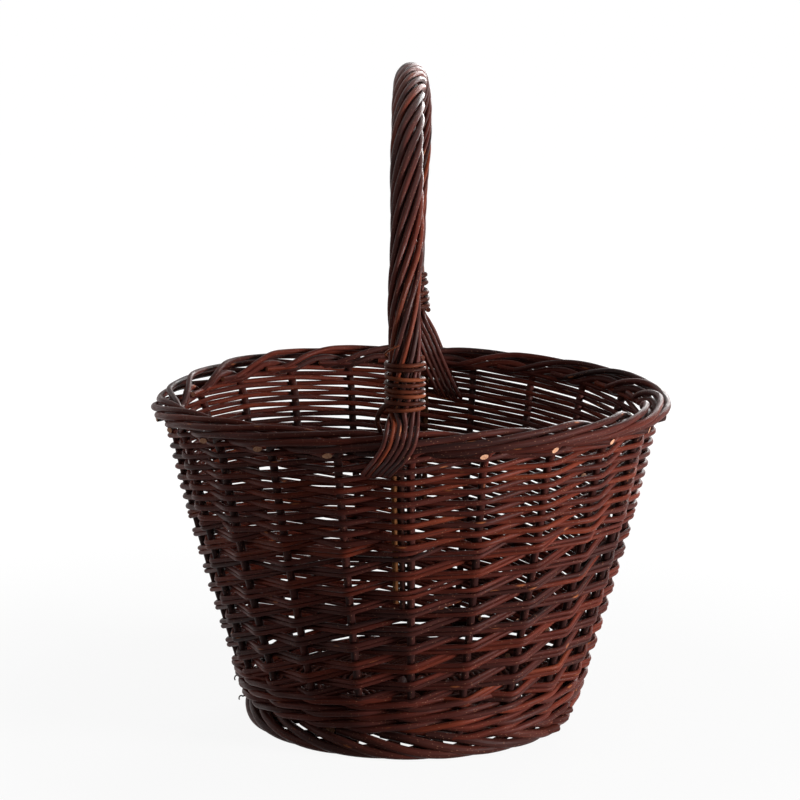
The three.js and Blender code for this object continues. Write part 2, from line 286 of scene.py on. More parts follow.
def cover_lines(tree, lines, sides):
    """A round skin along every line. It carries its line's middle and run, and its own place on the bark."""
    position = tree.nodes.new("GeometryNodeInputPosition").outputs["Position"]
    run = tree.nodes.new("GeometryNodeInputTangent").outputs["Tangent"]
    to_curve = tree.nodes.new("GeometryNodeMeshToCurve")
    tree.links.new(lines, to_curve.inputs["Mesh"])
    middle = store(tree, to_curve.outputs["Curve"], "middle", position)
    middle = store(tree, middle, "run", run)
    circle = tree.nodes.new("GeometryNodeCurvePrimitiveCircle")
    circle.mode = "RADIUS"
    circle.inputs["Radius"].default_value = 1.0
    tree.links.new(sides, circle.inputs["Resolution"])
    ring = store(tree, circle.outputs["Curve"], "ring", position)
    thickness = named(tree, "thickness", "FLOAT")
    skin = tree.nodes.new("GeometryNodeCurveToMesh")
    skin.inputs["Fill Caps"].default_value = True
    for label, value in (("Curve", middle), ("Profile Curve", ring), ("Scale", thickness)):
        tree.links.new(value, skin.inputs[label])

    # Places on the bark: round the rod in the first two numbers, metres along it in the third
    across = tree.nodes.new("ShaderNodeSeparateXYZ")
    tree.links.new(vector(tree, "SCALE", named(tree, "ring"), thickness), across.inputs[0])
    grain = tree.nodes.new("ShaderNodeCombineXYZ")
    along = named(tree, "along", "FLOAT")
    for label, value in (("X", across.outputs["X"]), ("Y", across.outputs["Y"]), ("Z", along)):
        tree.links.new(value, grain.inputs[label])
    return store(tree, skin.outputs["Mesh"], "grain", grain.outputs["Vector"])


def raise_lumps(tree, skin, height, per_metre, seed):
    """The skin, swollen and shrunk by up to the given share of the rod's own radius."""
    noise = tree.nodes.new("ShaderNodeTexNoise")
    noise.noise_dimensions = "4D"
    noise.inputs["Detail"].default_value = 1.5
    for label, value in (("Vector", named(tree, "grain")), ("W", seed), ("Scale", per_metre)):
        tree.links.new(value, noise.inputs[label])
    swell = reckon(tree, "MULTIPLY", reckon(tree, "SUBTRACT", noise.outputs["Fac"], 0.5), height)
    radius = named(tree, "thickness", "FLOAT")
    swell = reckon(tree, "MULTIPLY", reckon(tree, "MULTIPLY", swell, 2.0), radius)
    outwards = tree.nodes.new("GeometryNodeInputNormal").outputs["Normal"]
    offset = vector(tree, "SCALE", outwards, swell)
    return through(tree, "GeometryNodeSetPosition", skin, {"Offset": offset})


def slant_ends(tree, skin):
    """The skin with its knife cuts. A corner of an end slides along the rod as far as it lies to the cut."""
    position = tree.nodes.new("GeometryNodeInputPosition").outputs["Position"]
    off_middle = vector(tree, "SUBTRACT", position, named(tree, "middle"))
    slide = vector(tree, "DOT_PRODUCT", off_middle, named(tree, "cut"))
    offset = vector(tree, "SCALE", named(tree, "run"), slide)
    return through(tree, "GeometryNodeSetPosition", skin, {"Offset": offset})


def finish_faces(tree, skin, bark, cut_wood):
    """Smooth bark and flat ends of cut wood. The ends are the only faces with more than four corners."""
    corners = tree.nodes.new("GeometryNodeInputMeshFaceNeighbors").outputs["Vertex Count"]
    is_end = reckon(tree, "GREATER_THAN", corners, 4.5)
    skin = through(tree, "GeometryNodeSetShadeSmooth", skin, {})
    skin = through(tree, "GeometryNodeSetShadeSmooth", skin, {"Selection": is_end, "Shade Smooth": False})
    skin = through(tree, "GeometryNodeRealizeInstances", skin, {})
    skin = through(tree, "GeometryNodeSetMaterial", skin, {"Material": bark})
    return through(tree, "GeometryNodeSetMaterial", skin, {"Selection": is_end, "Material": cut_wood})


def round_rod_tree():
    """Geometry Nodes: a round, slightly lumpy rod along every line, with flat cut faces at its ends."""
    tree = bpy.data.node_groups.new("round_rods", "GeometryNodeTree")
    tree.interface.new_socket("Geometry", in_out="OUTPUT", socket_type="NodeSocketGeometry")
    for label, kind in (
        ("Geometry", "NodeSocketGeometry"),
        ("Sides", "NodeSocketInt"),
        ("Lump height", "NodeSocketFloat"),
        ("Lumps per metre", "NodeSocketFloat"),
        ("Seed", "NodeSocketFloat"),
        ("Bark", "NodeSocketMaterial"),
        ("Cut wood", "NodeSocketMaterial"),
    ):
        tree.interface.new_socket(label, in_out="INPUT", socket_type=kind)
    given = tree.nodes.new("NodeGroupInput").outputs
    rods = cover_lines(tree, given["Geometry"], given["Sides"])
    rods = raise_lumps(tree, rods, given["Lump height"], given["Lumps per metre"], given["Seed"])
    rods = slant_ends(tree, rods)
    rods = finish_faces(tree, rods, given["Bark"], given["Cut wood"])
    tree.links.new(rods, tree.nodes.new("NodeGroupOutput").inputs["Geometry"])
    return tree


def bundle(name, rods, bark, cut, nodes, sides, lump=0.07, lumps=60.0, seed=1):
    """One piece of the basket made of round rods, standing for its CAD nodes."""
    lines = bpy.data.objects.new(name + "_lines", line_mesh(name, rods, random.Random(seed)))
    bpy.context.scene.collection.objects.link(lines)
    modifier = lines.modifiers.new("rods", "NODES")
    modifier.node_group = ROUND_RODS
    inputs = {
        item.name: item.identifier for item in ROUND_RODS.interface.items_tree
        if item.item_type == "SOCKET" and item.in_out == "INPUT"
    }
    for label, value in (
        ("Sides", sides), ("Lump height", lump), ("Lumps per metre", lumps),
        ("Seed", float(seed)), ("Bark", bark), ("Cut wood", cut),
    ):
        modifier[inputs[label]] = value
    seen = lines.evaluated_get(bpy.context.evaluated_depsgraph_get())
    mesh = bpy.data.meshes.new_from_object(seen)
    mesh.name = name
    for label in ("middle", "run", "ring", "cut", "along", "thickness"):
        if label in mesh.attributes:
            mesh.attributes.remove(mesh.attributes[label])
    bpy.data.objects.remove(lines)
    piece = bpy.data.objects.new(name, mesh)
    bpy.context.scene.collection.objects.link(piece)
    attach(piece, "root")
    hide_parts(*nodes)
    return piece


# Barks, cut wood and skein

def colour(red, green, blue):
    """A paint-chart colour, 0 to 255, as the renderer counts it."""
    return tuple(
        ((c / 255 + 0.055) / 1.055) ** 2.4 if c > 10 else c / 255 / 12.92 for c in (red, green, blue)
    ) + (1.0,)


def new_material(name):
    material = bpy.data.materials.new(name)
    material.use_nodes = True
    return material


def bark_material(name, chart, dullness=0.42, scars=0.105, gloss=0.06):
    """Unpeeled bark. chart is the list of bark colours that a rod's tone picks from."""
    material = new_material(name)
    tree = material.node_tree
    add, link = tree.nodes.new, tree.links.new
    number = partial(reckon, tree)
    shader = tree.nodes["Principled BSDF"]

    def attribute(label):
        node = add("ShaderNodeAttribute")
        node.attribute_name = label
        return node

    def stretched(scale):
        """The place on the bark, times how many marks a metre there are round the rod and along it."""
        node = add("ShaderNodeVectorMath")
        node.operation = "MULTIPLY"
        link(grain, node.inputs[0])
        node.inputs[1].default_value = scale
        return node.outputs["Vector"]

    def noise(scale, detail, low, high, to_low, to_high):
        node = add("ShaderNodeTexNoise")
        node.inputs["Scale"].default_value = 1.0
        node.inputs["Detail"].default_value = detail
        link(stretched(scale), node.inputs["Vector"])
        return spread(tree, node.outputs["Fac"], low, high, to_low, to_high)

    def spots(scale, size, soft):
        node = add("ShaderNodeTexVoronoi")
        node.inputs["Scale"].default_value = 1.0
        link(stretched(scale), node.inputs["Vector"])
        return spread(tree, node.outputs["Distance"], size, size + soft, 1.0, 0.0)

    def blend(kind, share, first, second):
        node = add("ShaderNodeMix")
        node.data_type = "RGBA"
        node.blend_type = kind
        for index, value in ((0, share), (6, first), (7, second)):
            feed(tree, node.inputs[index], value)
        return node.outputs[2]

    grain = attribute("grain").outputs["Vector"]
    tone = attribute("tone").outputs["Fac"]

    # The rod's own colour drifts along it and a little round it
    drift = noise((110, 110, 9), 2.0, 0.3, 0.7, -0.16, 0.16)
    own_colour = chart_colour(tree, chart, number("ADD", tone, drift))

    # Fine streaks along the bark, and broad dull patches
    streaks = noise((1500, 1500, 45), 3.0, 0.32, 0.68, 0.62, 1.22)
    patches = noise((260, 260, 30), 3.0, 0.3, 0.7, 0.74, 1.14)
    shade = blend("MULTIPLY", 1.0, own_colour, number("MULTIPLY", streaks, patches))
    # Breathing pores, and the scars where buds and side shoots were rubbed off
    pores = spots((520, 520, 300), 0.10, 0.10)
    shade = blend("MIX", number("MULTIPLY", pores, 0.55), shade, colour(160, 112, 88))
    buds = spots((120, 120, 26), scars - 0.05, 0.06)
    shade = blend("MIX", number("MULTIPLY", buds, 0.65), shade, colour(184, 108, 66))
    link(shade, shader.inputs["Base Color"])

    shader.inputs["Specular IOR Level"].default_value = gloss
    roughness = noise((700, 700, 80), 2.0, 0.3, 0.7, dullness - 0.07, dullness + 0.12)
    link(roughness, shader.inputs["Roughness"])
    relief = noise((1100, 1100, 60), 3.0, 0.0, 1.0, 0.0, 1.0)
    relief = number("ADD", relief, number("MULTIPLY", pores, 0.25))
    relief = number("ADD", relief, number("MULTIPLY", buds, 0.5))
    roughen(tree, relief, strength=0.8, distance=0.0004)
    return material


def cut_wood_material():
    """The pale, rough end grain that a knife leaves."""
    material = new_material("cut_wood")
    tree = material.node_tree
    shader = tree.nodes["Principled BSDF"]
    place = tree.nodes.new("ShaderNodeTexCoord")
    noise = tree.nodes.new("ShaderNodeTexNoise")
    noise.inputs["Scale"].default_value = 900.0
    noise.inputs["Detail"].default_value = 3.0
    tree.links.new(place.outputs["Object"], noise.inputs["Vector"])
    shade = chart_colour(tree, CUT_CHART, noise.outputs["Fac"])
    tree.links.new(shade, shader.inputs["Base Color"])
    shader.inputs["Roughness"].default_value = 0.8
    roughen(tree, noise.outputs["Fac"], strength=0.4, distance=0.0003)
    return material


ROUND_RODS = round_rod_tree()
BARK_CHART = [
    (0.00, colour(46, 24, 22)),
    (0.12, colour(68, 35, 31)),
    (0.34, colour(85, 38, 31)),
    (0.60, colour(107, 45, 31)),
    (0.85, colour(125, 58, 36)),
    (1.00, colour(142, 86, 50)),
]
FOOT_CHART = [
    (0.00, colour(56, 31, 28)),
    (0.35, colour(74, 36, 30)),
    (0.80, colour(104, 48, 33)),
    (1.00, colour(120, 60, 38)),
]
SKEIN_CHART = [
    (0.00, colour(62, 29, 21)),
    (0.45, colour(98, 47, 31)),
    (0.80, colour(136, 72, 46)),
    (1.00, colour(164, 104, 70)),
]
# The bow's colours. The dark low end is painted shade, darker than the willow's bark, so that the bow seen
# through the gaps between the rope rods is as dark as shade. The upper end is the pared tails' own colour.
BOW_SHADE_AND_BARK_CHART = [
    (0.00, colour(40, 21, 18)),
    (0.50, colour(56, 29, 23)),
    (0.85, colour(98, 58, 36)),
    (1.00, colour(122, 78, 46)),
]
CUT_CHART = [
    (0.35, colour(184, 126, 94)),
    (0.65, colour(218, 166, 132)),
]
BARK = bark_material("willow_bark", BARK_CHART)
FOOT_BARK = bark_material("foot_bark", FOOT_CHART)
ROPE_BARK = bark_material("rope_bark", BARK_CHART, dullness=0.36, gloss=0.11)
# Bark for the bow and its tails, the bow's part darkened as painted shade
BOW_SHADE_AND_BARK = bark_material("bow_painted_shade_and_bark", BOW_SHADE_AND_BARK_CHART, dullness=0.45, scars=0.02)
SKEIN = bark_material("skein_bark", SKEIN_CHART, scars=0.02)
CUT_WOOD = cut_wood_material()


# Stakes and the border that they make

# Stakes travelled, then border units outwards and upwards. The tip is drawn on to its cut below the border.
BORDER_PATH = (
    (0.04, 0.00, 0.30), (0.30, -0.10, 1.20), (0.62, -0.75, 1.25), (1.00, -1.20, 0.45),
    (1.40, -0.25, 0.30), (1.75, 0.75, 0.58), (2.20, 1.33, 1.12), (2.85, 1.50, 1.60),
    (3.45, 1.02, 2.10), (4.00, 0.45, 2.50), (4.35, -0.35, 2.55), (4.75, -1.30, 1.95),
    (5.12, -1.62, 1.00), (5.48, -0.70, 0.25), (5.75, 0.55, 0.10), (5.93, 1.25, 0.08),
)
CUT_TURN = 5.9        # stakes travelled at the cut
RIM_SHARE = 0.45      # share of the stake's length at which it is thickest, near the rim


def stake(index, chance):
    wall = [beside_wall(index, z, 0) for z in (WALL_START, 40, 80, 120, 160, 200, WALL_TOP - 3)]
    sway = [(chance.gauss(0, 0.22), chance.gauss(0, 0.22)) for _ in BORDER_PATH]
    bent = [
        polar(
            FIRST_STAKE + (index + along) * STAKE_STEP,
            BORDER_RADIUS + out * BORDER_UNIT + outwards,
            BORDER_HEIGHT + up * BORDER_UNIT + upwards,
        )
        for (along, out, up), (outwards, upwards) in zip(BORDER_PATH, sway)
    ]
    rim = chance.uniform(5.8, 6.4)
    tip = chance.uniform(3.8, 4.4)
    bark = chance.choice((0.12, 0.18, 0.25, 0.32, 0.42))
    end = FIRST_STAKE + (index + CUT_TURN) * STAKE_STEP
    slant = Vector((-math.cos(end), -math.sin(end), 0.35)).normalized() * 1.5

    def thick(share):
        if share < RIM_SHARE:
            return mix(STAKE_DIAMETER, rim, ease(share, 0, RIM_SHARE))
        return mix(rim, tip, (share - RIM_SHARE) / (1 - RIM_SHARE))

    def tone(share):
        return mix(0.03, bark, ease(share, 0.34, 0.44))

    return willow_rod(flowing(wall + bent, 4.5), thick, tone, (None, slant))


stake_chance = random.Random(11)
for i in range(STAKES):
    label = f"stake_{i + 1:02d}"
    bundle(f"border_{label}", [stake(i, stake_chance)], BARK, CUT_WOOD, [label],
           sides=12, lumps=55.0, seed=100 + i)


# Siding: rods that each rise one course at every stake

STAKE_GAP = 0.25      # air between a stake and the rod that passes it
TAIL_HEIGHT = 122     # height from which the bow's tails stand beside two of the stakes
PAIR_OFFSET = 1.9     # how far each rod of a pair lies above or below the pair's middle
# Height of the first course, rise at every stake, number of courses, and the rods' dip, diameter and bend
PAIRED = {"start": 47.6, "pitch": 7.41, "courses": 17, "dip": 0.9, "diameter": 3.85, "bend": 4.5}
SINGLE = {"start": 172.2, "pitch": 4.08, "courses": 18, "dip": 0.3, "diameter": 4.45, "bend": 8.5}


def randed_rod(first, beside, tone, chance, start, pitch, courses, dip, diameter, bend):
    """A rod that starts behind a stake and passes in front of one and behind the next up the wall, lying
    a dip below its course in front and above it behind. beside is its place in a pair."""
    clear = (STAKE_DIAMETER + diameter) / 2 + STAKE_GAP
    corners = []
    drift = chance.gauss(0, 0.2)

    def corner(turn, course, side, outwards=0.0):
        nonlocal drift
        drift = 0.6 * drift + chance.gauss(0, 0.18)
        z = start + course * pitch - side * dip
        outwards += side * (clear + abs(chance.gauss(0, 0.2)))
        corners.append(beside_wall(turn, z, outwards, beside + drift))

    # The butt and the tip end inside the wall, between two stakes
    corner(first - 0.62, -0.62, -1, -0.8)
    for course in range(courses):
        turn = first + course
        side = 1 if course % 2 == 0 else -1
        # The rod passes a tail together with its stake
        if turn % (STAKES // 2) == 0 and start + course * pitch > TAIL_HEIGHT:
            corner(turn - TAIL_STEP, course - TAIL_STEP * 0.5, side)
        corner(turn, course, side)
    corner(first + courses - 0.45, courses - 0.55, -1, -0.6)
    scale = chance.uniform(0.95, 1.06)
    thick = tapered(diameter * scale * 1.04, diameter * scale * 0.88)
    return willow_rod(bent_at_corners(corners, bend), thick, steady(tone))


def siding_rods(strand, chance):
    """Every other stake's rods: pairs of them up to two thirds of the wall, then finer single ones."""
    rods = []
    for first in range(strand, STAKES, 2):
        pair_tone = chance.uniform(0.16, 0.62)
        for side in (-1, 1):
            tone = min(max(pair_tone + chance.gauss(0, 0.12), 0.1), 0.68)
            rods.append(randed_rod(first, side * PAIR_OFFSET, tone, chance, **PAIRED))
        rods.append(randed_rod(first, 0, chance.uniform(0.1, 0.6), chance, **SINGLE))
    return rods


for strand, letter in enumerate("ab"):
    bundle(f"siding_{letter}", siding_rods(strand, random.Random(21 + strand)), BARK, CUT_WOOD,
           [f"siding_weaver_{letter}"], sides=8, lumps=80.0, seed=21 + strand)


# Upsett: three rods, each in front of two stakes and behind the third

UPSETT_START = 18.2
UPSETT_RISE = 9.2     # in each round
UPSETT_ROUNDS = 3
# Outwards and upwards behind one stake, low in front of the next and high in front of the third
UPSETT_PLACES = ((-5.3, 0.0), (5.3, -2.8), (5.936, 2.8))


def upsett_rod(strand, chance):
    corners = []
    for step in range(UPSETT_ROUNDS * STAKES + 1):
        outwards, upwards = UPSETT_PLACES[step % 3]
        z = UPSETT_START + UPSETT_RISE * step / STAKES
        corners.append(beside_wall(step + strand, z, outwards, upwards + chance.gauss(0, 0.2)))
    tone = steady(chance.uniform(0.16, 0.5))
    return willow_rod(bent_at_corners(corners, bend=11, step=7), tapered(5.1, 4.8), tone)


def stray_shoot(angle, z, size):
    """A thin side shoot that curls out of the weave."""
    root_radius = 128
    curl_radius = 136
    points = [polar(angle - 0.06, root_radius, z + 1)]
    for i in range(6):
        turn = 2.5 - i * 0.62
        radius = curl_radius + size * math.cos(turn)
        points.append(polar(angle + i * 0.003, radius, z + size * math.sin(turn)))
    return willow_rod(flowing(points, 1.2), tapered(1.4, 1.0), steady(0.3))


upsett_chance = random.Random(31)
upsett_rods = [upsett_rod(i, upsett_chance) for i in range(3)]
upsett_rods += [stray_shoot(math.pi + 0.12, 28.5, 2.6), stray_shoot(math.pi + 0.3, 19.5, 1.8)]
bundle("upsett", upsett_rods, BARK, CUT_WOOD, ["upsett_weaver"], sides=10, seed=31)


# Foot: stout rods that come down to the right, run along the floor and tuck in

# Stakes travelled, radius and height
FOOT_PATH = (
    (-0.65, 120.0, 17.6), (0.05, 126.0, 14.6), (0.65, 128.5, 10.0), (1.25, 128.6, 5.4),
    (2.00, 127.0, 3.4), (2.70, 122.0, 3.6), (3.30, 117.0, 6.6), (3.75, 114.0, 9.8),
)
# The foot isn't quite round: its shares to the left, to the right and from front to back
FOOT_LEFT = 0.985
FOOT_RIGHT = 0.96
FOOT_DEPTH = 1.018
FOOT_LOWEST = 3.65    # height of a rod's middle on the floor
# Angle, height, reach and diameter of three thick ends that were left standing out at the right
FOOT_BUTTS = ((-0.51, 6.0, 131.0, 6.4), (-0.43, 11.5, 133.0, 5.6), (-0.38, 16.0, 134.0, 5.0))


def foot_rod(index, chance):
    points = [
        polar(
            FIRST_STAKE + (index + along) * STAKE_STEP,
            radius + chance.gauss(0, 0.35),
            z + chance.gauss(0, 0.2),
        )
        for along, radius, z in FOOT_PATH
    ]
    for point in points:
        point.x *= FOOT_RIGHT if point.x > 0 else FOOT_LEFT
        point.y *= FOOT_DEPTH
        point.z = max(point.z, FOOT_LOWEST)
    return willow_rod(flowing(points, 5), tapered(7.2, 6.4), steady(chance.uniform(0.0, 0.4)))


def foot_butt(angle, z, reach, diameter):
    points = [
        polar(angle - 0.17, 118, z - 1), polar(angle - 0.10, 123, z - 1), polar(angle - 0.04, reach - 3, z),
        polar(angle, reach, z + 1),
    ]
    slant = Vector((math.cos(angle), math.sin(angle), 0.2)) * 0.5
    return willow_rod(flowing(points, 4), steady(diameter), steady(0.35), (None, slant))


for strand, letter in enumerate("ab"):
    foot_chance = random.Random(41 + strand)
    foot_rods = [foot_rod(i, foot_chance) for i in range(strand, STAKES, 2)]
    if strand == 0:
        foot_rods += [foot_butt(*butt) for butt in FOOT_BUTTS]
    bundle(f"foot_border_{letter}", foot_rods, FOOT_BARK, CUT_WOOD,
           [f"foot_rod_{letter}"], sides=12, lump=0.08, lumps=50.0, seed=41 + strand)


# Base: crossed sticks spread into spokes, and rods woven round them

BASE_HEIGHT = 15.84
BASE_TURN = FIRST_STAKE + math.pi / 2
STICK_LIFT = 4.1      # how far each group lies above or below the middle at the cross
STICK_SPACING = 8.2
CROSS_RADIUS = 15
SPREAD_RADIUS = 44    # where the sticks have spread into spokes
SPOKES = 12
SPOKE_STEP = 2 * math.pi / SPOKES
SPOKE_END = 120.5
WEAVE_START = 18.0
WEAVE_GROWTH = 5.7    # in each round
WEAVE_REACH = 5.4     # above or below the spoke


def base_stick(group, order, chance):
    lift = (-1 if group == 0 else 1) * STICK_LIFT
    half = [
        Vector((CROSS_RADIUS, order * STICK_SPACING, lift)),
        polar(order * 0.49, 30, lift * 0.3),
        polar(order * SPOKE_STEP, SPREAD_RADIUS, 0),
        polar(order * SPOKE_STEP, SPOKE_END, 0),
    ]
    line = [Vector((-p.x, p.y, p.z)) for p in reversed(half)] + half
    turned = Matrix.Rotation(BASE_TURN + group * math.pi / 2, 3, "Z")
    points = [turned @ p + Vector((0, 0, BASE_HEIGHT)) for p in line]
    return willow_rod(flowing(points, 7), steady(7.9), steady(chance.uniform(0.1, 0.5)))


base_chance = random.Random(51)
for group, level in enumerate(("lower", "upper")):
    for i in range(3):
        label = f"base_stick_{level}_{i + 1}"
        bundle(f"willow_{label}", [base_stick(group, i - 1, base_chance)], FOOT_BARK, CUT_WOOD,
               [label], sides=12, lumps=40.0, seed=51 + 3 * group + i)


def base_weaver(strand, chance):
    """Two rounds over one crossed group and under the other, then over and under single spokes."""
    corners = []
    steps = math.ceil((SPOKE_END - 1 - WEAVE_START) / WEAVE_GROWTH * SPOKES)
    for step in range(steps):
        spoke = step + strand * SPOKES // 2
        radius = WEAVE_START + WEAVE_GROWTH * step / SPOKES
        group = -1 if (spoke + 1) % 6 < 3 else 1
        apart = min(max((SPREAD_RADIUS - radius) / (SPREAD_RADIUS - CROSS_RADIUS), 0), 1)
        side = 1 if spoke % 2 == 0 else -1
        if step < 2 * SPOKES:
            side = -group
        if strand == 1:
            side = -side
        lift = group * STICK_LIFT * apart + side * WEAVE_REACH + chance.gauss(0, 0.1)
        corners.append(polar(BASE_TURN + spoke * SPOKE_STEP, radius, BASE_HEIGHT + lift))
    return willow_rod(flowing(corners, 6), tapered(3.8, 3.5), steady(chance.uniform(0.1, 0.5)))


for strand, letter in enumerate("ab"):
    bundle(f"base_weave_{letter}", [base_weaver(strand, base_chance)], FOOT_BARK, CUT_WOOD,
           [f"base_weaver_{letter}"], sides=8, seed=61 + strand)


# Handle: bow, rope rods and bindings

NECK_HEIGHT = 272
LEG_LENGTH = 36
SPRING_HEIGHT = NECK_HEIGHT + LEG_LENGTH
ROPE_ORBIT = 9.6
ROPE_RADIUS = 2.3
ARCH_RADIUS = BORDER_RADIUS
ARCH_RISE = HANDLE_TOP - ROPE_ORBIT - ROPE_RADIUS - SPRING_HEIGHT
ARCH_LENGTH = math.pi * (ARCH_RADIUS + ARCH_RISE) / 2
BOW_LENGTH = 2 * LEG_LENGTH + ARCH_LENGTH
ROPE_RODS = 10
ROPE_TURN = 2 * math.pi / ROPE_RODS
TWIST_STEPS = 32

# The handle was set a little askew: shares of its length, then how far to the right it stands there
ASKEW = (
    (0.00, 5.4), (0.12, 4.6), (0.17, 5.7), (0.21, 5.2), (0.26, 4.4), (0.32, 2.6), (0.50, -0.5), (0.66, -1.0),
    (0.71, -2.3), (0.79, -5.9), (0.85, -9.0), (0.90, -10.5), (0.95, -10.0), (1.00, -8.0),
)

# Radius and height of the bow's ends below its necks, and the share of the neck's askew place
BOW_ROOT = ((183, 225, 0.0), (187, 244, 0.4), (188, 260, 0.8))

# The two halves of each pared tail: how far aside of the leg's middle, the lowest height and the tone
TAIL_HALVES = ((-2.6, 127, 0.86), (2.2, 118, 0.3))


def askew(share):
    for (a, here), (b, there) in zip(ASKEW, ASKEW[1:]):
        if share <= b:
            return mix(here, there, (share - a) / (b - a))
    return ASKEW[-1][1]


def neck_askew(leg):
    return askew(0 if leg == FRONT else 1)


def bow_frame(share):
    """Middle of the bow a share of its length from the front neck, and the direction out of the arch."""
    length = BOW_LENGTH * share
    turn = math.pi * min(max((length - LEG_LENGTH) / ARCH_LENGTH, 0), 1)
    below = LEG_LENGTH - min(length, LEG_LENGTH) + max(length - LEG_LENGTH - ARCH_LENGTH, 0)
    y = -ARCH_RADIUS * math.cos(turn)
    centre = Vector((askew(share), y, SPRING_HEIGHT + ARCH_RISE * math.sin(turn) - below))
    return centre, Vector((0, -ARCH_RISE * math.cos(turn), ARCH_RADIUS * math.sin(turn))).normalized()


def handle_bow():
    steps = 60
    over = [bow_frame(i / steps)[0] for i in range(2, steps - 1)]
    front, back = [
        [Vector((neck_askew(leg) * share, leg * radius, z)) for radius, z, share in BOW_ROOT]
        for leg in (FRONT, BACK)
    ]
    points = flowing(front + [p - rim_lift(p) for p in over] + back[::-1], 6)

    def thick(share):
        z = points[round(share * (len(points) - 1))].z
        return mix(5.2, 12.5, ease(z, 256, 286))

    # Tone 0.15 takes the bow's colour from the painted-shade end of its chart
    return willow_rod(points, thick, steady(0.15))


def pared_tail(leg, beside, lowest, tone):
    """Half of the bow's end, which is pared down and pushed into the wall beside a stake."""
    heights = (lowest, 150, 170, 190, 210, 232)
    points = [Vector((beside * -leg, leg * wall_radius(z), z)) for z in heights]
    return willow_rod(flowing(points, 6), tapered(4.4, 5.0), steady(tone))


tails = [pared_tail(leg, *half) for leg in (FRONT, BACK) for half in TAIL_HALVES]
bundle("bow", [handle_bow()] + tails, BOW_SHADE_AND_BARK, CUT_WOOD, ["handle_bow"],
       sides=14, lump=0.06, seed=71)


# Heights over which the rope rods spread, then how far they have leant aside there
ROPE_SPREAD = {
    FRONT: ((264, 1.2), (256, 2.2), (248, 4.4), (240, 9.2), (232, 15.2), (225, 20.8)),
    BACK: ((282, 2.0), (268, 8.0), (254, 14.6), (238, 22.6), (224, 30.0), (216, 33.6)),
}
ROPE_SPACING = {FRONT: 3.9, BACK: 4.7}
BACK_NECK = 0.973     # share of the bow's length at which the rope ends at the back

# How far the rope rods lie out or in: at the neck, over the border, down its two faces and tucked in below
NECK_REACH = 11.5
OUTER_REACH = 15.0
INNER_REACH = 15.5
MIDDLE_REACH = 13.0
MIDDLE_HEIGHT = 239
UNDER_REACH = 9.8
UNDER_HEIGHT = 224
TUCK_REACH = 3.5
BACK_DRIFT = 1.3      # sideways at each level, on the outside of the back leg


def fan(order, face, leg):
    """Points of a rope rod from the neck down over the border. face is 1 outside the basket and -1 inside."""
    points = []
    levels = ROPE_SPREAD[leg]
    for level, (z, lean) in enumerate(levels):
        if level == 0:
            radius = BORDER_RADIUS + face * NECK_REACH
        elif z > BORDER_HEIGHT:
            radius = BORDER_RADIUS + (OUTER_REACH if face > 0 else -INNER_REACH)
        elif level < len(levels) - 1:
            share = (z - UNDER_HEIGHT) / (MIDDLE_HEIGHT - UNDER_HEIGHT)
            radius = wall_radius(z) + face * mix(UNDER_REACH, MIDDLE_REACH, share)
        else:
            radius = wall_radius(z) + face * TUCK_REACH
        stands = -leg * neck_askew(leg)
        if leg == BACK and face > 0:
            stands += min(level, 3) * BACK_DRIFT
        angle = leg * math.pi / 2 + (order * ROPE_SPACING[leg] - lean + stands) / BORDER_RADIUS
        points.append(polar(angle, radius, z))
    return points


def rope_rod(index, chance):
    steps = 84
    start = index * ROPE_TURN
    half_twist = TWIST_STEPS * ROPE_TURN / 2
    over = []
    for i in range(steps + 1):
        share = i / steps
        centre, out = bow_frame(BACK_NECK * share)
        twist = start + half_twist * (2 * share - 1)
        orbit = ROPE_ORBIT + 0.35 * math.sin(5 * math.pi * share + index * 2.1)
        point = centre + out * orbit * math.cos(twist) + Vector((1, 0, 0)) * orbit * math.sin(twist)
        over.append(point - rim_lift(point))

    def spread_out(twist, leg):
        """The rod's way down: outside the border from the neck's outer half, and inside it from the other."""
        slot = round(twist / ROPE_TURN) % ROPE_RODS
        from_front = slot - ROPE_RODS if slot > ROPE_RODS / 2 else slot
        outside = -3 <= from_front <= 2 if leg == FRONT else abs(from_front) <= 2
        order = from_front if outside else math.copysign(ROPE_RODS / 2, from_front) - from_front
        if leg == FRONT:
            order += 0.5 if outside else -0.5
        return fan(order, 1 if outside else -1, leg)

    front = spread_out(start - half_twist, FRONT)[::-1]
    back = spread_out(-start - half_twist, BACK)
    full = chance.uniform(4.1, 5.2)

    def thick(share):
        return mix(3.4, full, ease(min(share, 1 - share), 0.09, 0.29))

    tone = steady(chance.choice((0.12, 0.2, 0.3, 0.4, 0.5, 0.62, 0.72)))
    return willow_rod(flowing(front + over + back, 5), thick, tone)


rope_chance = random.Random(81)
for i in range(ROPE_RODS):
    label = f"rope_rod_{i + 1:02d}"
    bundle(f"handle_{label}", [rope_rod(i, rope_chance)], ROPE_BARK, CUT_WOOD, [label],
           sides=12, lump=0.06, lumps=45.0, seed=81 + i)


# Start above the neck's foot, clearance of the rope, narrowing upwards, diameter, tone and each turn's rise
FRONT_BINDING = {
    "start": 4, "clear": 3.6, "narrowing": 0.0, "diameter": 3.0, "bark": 0.35,
    "rises": (3.3, 5.2, 3.3, 4.6, 3.3, 7.8, 3.4, 3.8),
}
BACK_BINDING = {
    "start": 20.5, "clear": 2.7, "narrowing": 0.08, "diameter": 4.3, "bark": 0.05,
    "rises": (4.8, 5.4, 5.2, 9.0, 6.4),
}


